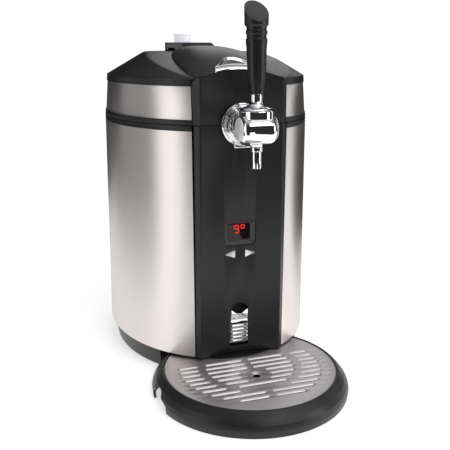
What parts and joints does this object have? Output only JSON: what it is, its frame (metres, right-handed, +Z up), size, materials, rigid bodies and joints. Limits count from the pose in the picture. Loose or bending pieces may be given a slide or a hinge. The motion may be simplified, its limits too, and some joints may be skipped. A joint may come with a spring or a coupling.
{
  "type": "countertop beer dispenser",
  "caption": "Countertop draught beer cooler with an oval steel-clad body, hinged lid, chrome tap with a black lever handle, display panel and round slotted drip tray.",
  "frame": {"origin": "middle of the bounding box's footprint, on the counter", "axes": "+Z up, -Y towards the tap and the person pouring, +X to that person's right"},
  "size_m": [0.246, 0.451, 0.4217],
  "materials": {
    "black_plastic": "satin moulded plastic",
    "dark_plastic": "dull moulded plastic",
    "brushed_steel": "brushed up and down",
    "chrome": "polished",
    "aluminium": "plain",
    "rubber": "matt",
    "foam": "rigid foam",
    "white_plastic": "satin",
    "circuit_board": "matt",
    "display_glass": "smoked red"
  },
  "bodies": {
    "housing": {"base_pan": "black_plastic", "bottom_plate": "dark_plastic", "foot_front_left": "rubber", "foot_front_right": "rubber", "foot_rear_left": "rubber", "foot_rear_right": "rubber", "body_shell": "black_plastic", "side_panel_left": "brushed_steel", "side_panel_right": "brushed_steel", "front_column": "black_plastic", "rear_cover": "black_plastic", "top_deck": "black_plastic", "keg_well": "aluminium", "insulation_jacket": "foam", "cold_block": "aluminium", "peltier_module": "white_plastic", "heat_sink": "aluminium", "fan_frame": "dark_plastic", "power_supply": "aluminium", "mains_inlet": "dark_plastic", "switch_housing": "dark_plastic", "control_board": "circuit_board", "display_bezel": "black_plastic", "display_window": "display_glass", "slider_guide": "black_plastic", "tap_flange": "chrome", "tap_shank": "brushed_steel", "line_connector": "white_plastic", "tap_body": "chrome", "tap_side_cap_left": "chrome", "tap_side_cap_right": "chrome", "spout_collar": "chrome", "spout": "chrome", "tap_clip": "chrome", "hinge_bracket": "black_plastic", "hinge_pin": "brushed_steel"},
    "lid": {"lid_shell": "black_plastic", "lid_front_panel": "black_plastic", "lid_inlay_left": "brushed_steel", "lid_inlay_right": "brushed_steel", "lid_liner": "black_plastic", "lid_gasket": "rubber", "rear_block": "dark_plastic"},
    "lever": {"tap_lever": "chrome", "tap_handle": "dark_plastic"},
    "vent": {"vent_knob": "white_plastic"},
    "release": {"release_button": "chrome"},
    "latch": {"latch_hook": "brushed_steel"},
    "arrow_left": {"button_left": "chrome"},
    "arrow_right": {"button_right": "chrome"},
    "catch": {"tray_catch": "chrome"},
    "rocker": {"power_switch": "black_plastic"},
    "rotor": {"fan_rotor": "dark_plastic"},
    "tray": {"drip_tray": "black_plastic"},
    "plate": {"drip_plate": "brushed_steel"}
  },
  "joints": [
    {"name": "lid_hinge", "type": "hinge", "parent": "housing", "child": "lid", "pos_m": [0, 0.221, 0.2905], "axis": [-1, 0, 0], "range_deg": [0, 95]},
    {"name": "tap_lever_pull", "type": "hinge", "parent": "housing", "child": "lever", "pos_m": [0, -0.1275, 0.29275], "axis": [1, 0, 0], "range_deg": [0, 45]},
    {"name": "vent_turn", "type": "hinge", "parent": "lid", "child": "vent", "pos_m": [0, 0.1605, 0.3865], "axis": [0, 0, 1], "range_deg": [0, 90]},
    {"name": "release_press", "type": "slide", "parent": "lid", "child": "release", "axis": [0, 0, -1], "range_m": [0, 0.003], "stiffness_N_per_m": 1500, "springref_m": -0.001},
    {"name": "latch_draw", "type": "slide", "parent": "lid", "child": "latch", "axis": [0, 1, 0], "range_m": [0, 0.003]},
    {"name": "arrow_left_press", "type": "slide", "parent": "housing", "child": "arrow_left", "axis": [0, 1, 0], "range_m": [0, 0.001], "stiffness_N_per_m": 500},
    {"name": "arrow_right_press", "type": "slide", "parent": "housing", "child": "arrow_right", "axis": [0, 1, 0], "range_m": [0, 0.001], "stiffness_N_per_m": 500},
    {"name": "catch_slide", "type": "slide", "parent": "housing", "child": "catch", "axis": [0, 0, -1], "range_m": [0, 0.0026], "stiffness_N_per_m": 1200, "springref_m": -0.001},
    {"name": "rocker_tilt", "type": "hinge", "parent": "housing", "child": "rocker", "pos_m": [0.025, 0.2085, 0.055], "axis": [1, 0, 0], "range_deg": [0, 16]},
    {"name": "fan_spin", "type": "hinge", "parent": "housing", "child": "rotor", "pos_m": [0, 0.187, 0.15], "axis": [0, 1, 0], "continuous": true},
    {"name": "tray_slide", "type": "slide", "parent": "housing", "child": "tray", "axis": [0, -1, 0], "range_m": [0, 0.06]},
    {"name": "plate_lift", "type": "slide", "parent": "tray", "child": "plate", "axis": [0, 0, 1], "range_m": [0, 0.0012]}
  ],
  "couplings": [
    {"joint": "latch_draw", "follows": "release_press", "ratio": 1}
  ]
}
